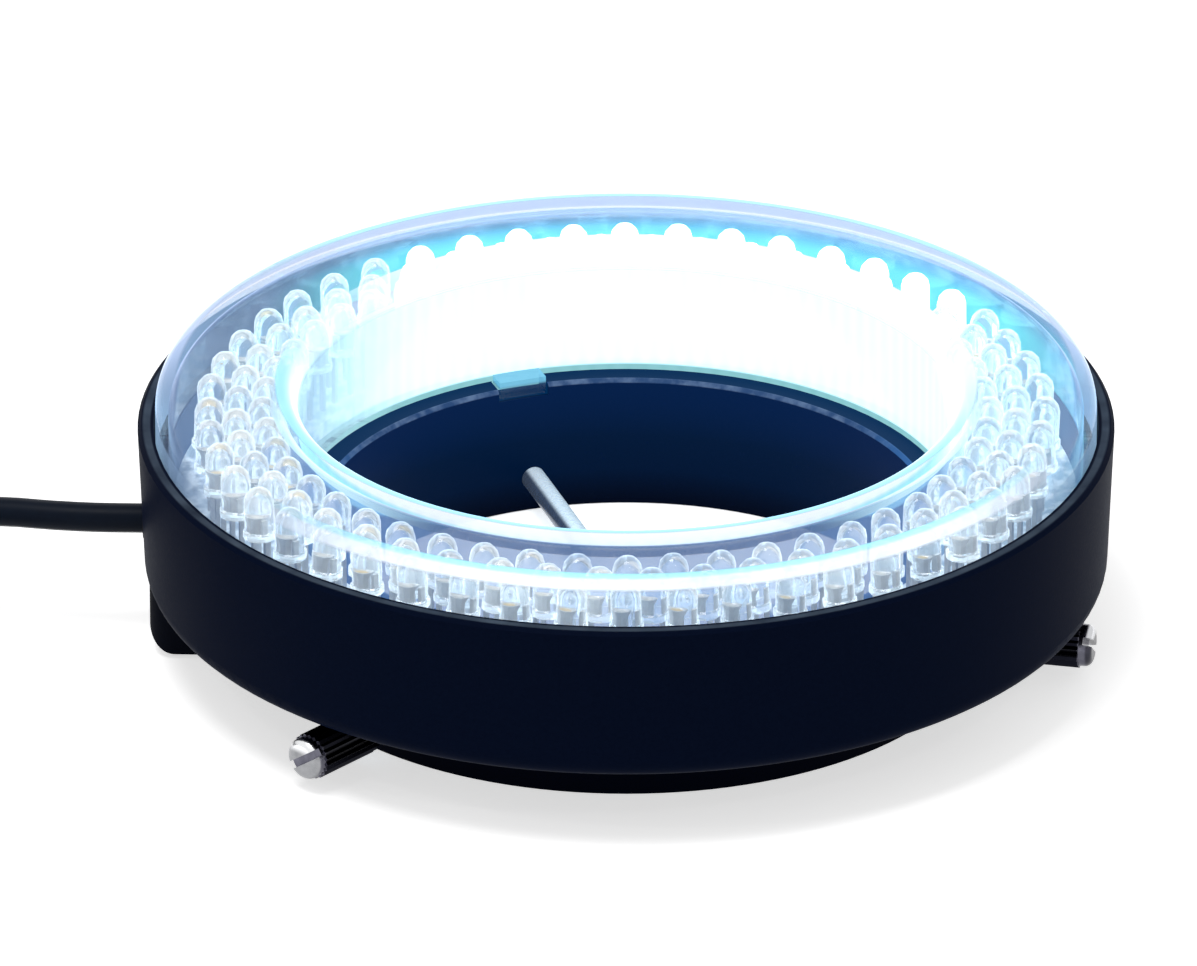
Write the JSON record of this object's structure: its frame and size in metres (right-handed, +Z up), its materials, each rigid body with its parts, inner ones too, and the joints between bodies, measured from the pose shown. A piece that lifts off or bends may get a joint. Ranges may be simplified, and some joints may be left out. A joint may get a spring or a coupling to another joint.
{
  "type": "microscope ring light",
  "caption": "Round black ring light with rings of clear round lamps under a clear channel cover, a clamp collar with knurled thumb screws, and a thin supply cord with a round connector.",
  "frame": {"origin": "centre of the bore at the clamp collar's lower face, which the light stands on", "axes": "+Z up along the bore to the light face, -X towards the cord's exit, +Y away from the viewer of the picture"},
  "size_m": [0.1639, 0.0987, 0.0282],
  "materials": {
    "black_satin": "satin moulded black",
    "black_collar": "satin moulded black",
    "clear_acrylic": "polished clear",
    "lamp_lit": "clear, lit white",
    "lamp_clear": "clear epoxy",
    "tinned_wire": "tinned",
    "white_board": "white solder mask",
    "chip_black": "moulded",
    "brass": "turned",
    "zinc_screw": "zinc plated",
    "nickel": "nickel plated, knurled",
    "stud_steel": "bright steel",
    "black_rubber": "moulded",
    "cord_jacket": "smooth jacket",
    "tie_strap": "ribbed strap",
    "shell_nickel": "nickel plated",
    "insulator": "moulded"
  },
  "bodies": {
    "light": {"housing": "black_satin", "mount_collar": "black_collar", "terminal_box": "black_collar", "clear_cover": "clear_acrylic", "led_zone_back": "lamp_lit", "led_zone_left": "lamp_clear", "led_zone_front": "lamp_clear", "led_zone_right": "lamp_clear", "led_leads": "tinned_wire", "led_board": "white_board", "board_resistors": "chip_black", "board_standoffs": "brass", "plug_pins": "brass", "floor_screws": "zinc_screw", "box_screws": "zinc_screw", "cord_bush": "black_rubber", "plug_boot": "black_rubber", "cord_lead": "cord_jacket", "cord_coil": "cord_jacket", "cord_tail": "cord_jacket", "supply_wires": "cord_jacket", "coil_tie": "tie_strap", "plug_shell": "shell_nickel", "plug_insert": "insulator"},
    "stud_1": {"clamp_stud_1": "stud_steel"},
    "head_1": {"thumb_head_1": "nickel"},
    "stud_2": {"clamp_stud_2": "stud_steel"},
    "head_2": {"thumb_head_2": "nickel"},
    "stud_3": {"clamp_stud_3": "stud_steel"},
    "head_3": {"thumb_head_3": "nickel"}
  },
  "joints": [
    {"name": "screw_1_travel", "type": "slide", "parent": "light", "child": "stud_1", "axis": [0.309, -0.9511, 0], "range_m": [-0.0155, 0.0027]},
    {"name": "screw_1_turn", "type": "hinge", "parent": "stud_1", "child": "head_1", "pos_m": [-0.01344, 0.04137, 0.0035], "axis": [0.309, -0.9511, 0], "range_deg": [-12490, 2250]},
    {"name": "screw_2_travel", "type": "slide", "parent": "light", "child": "stud_2", "axis": [0.6691, 0.7431, 0], "range_m": [-0.0155, 0.0027]},
    {"name": "screw_2_turn", "type": "hinge", "parent": "stud_2", "child": "head_2", "pos_m": [-0.02911, -0.03233, 0.0035], "axis": [0.6691, 0.7431, 0], "range_deg": [-12490, 2250]},
    {"name": "screw_3_travel", "type": "slide", "parent": "light", "child": "stud_3", "axis": [-0.9781, 0.2079, 0], "range_m": [-0.0155, 0.0027]},
    {"name": "screw_3_turn", "type": "hinge", "parent": "stud_3", "child": "head_3", "pos_m": [0.04255, -0.00904, 0.0035], "axis": [-0.9781, 0.2079, 0], "range_deg": [-12490, 2250]}
  ],
  "couplings": [
    {"joint": "screw_1_turn", "follows": "screw_1_travel", "rad_per_m": 13963},
    {"joint": "screw_2_turn", "follows": "screw_2_travel", "rad_per_m": 13963},
    {"joint": "screw_3_turn", "follows": "screw_3_travel", "rad_per_m": 13963}
  ]
}
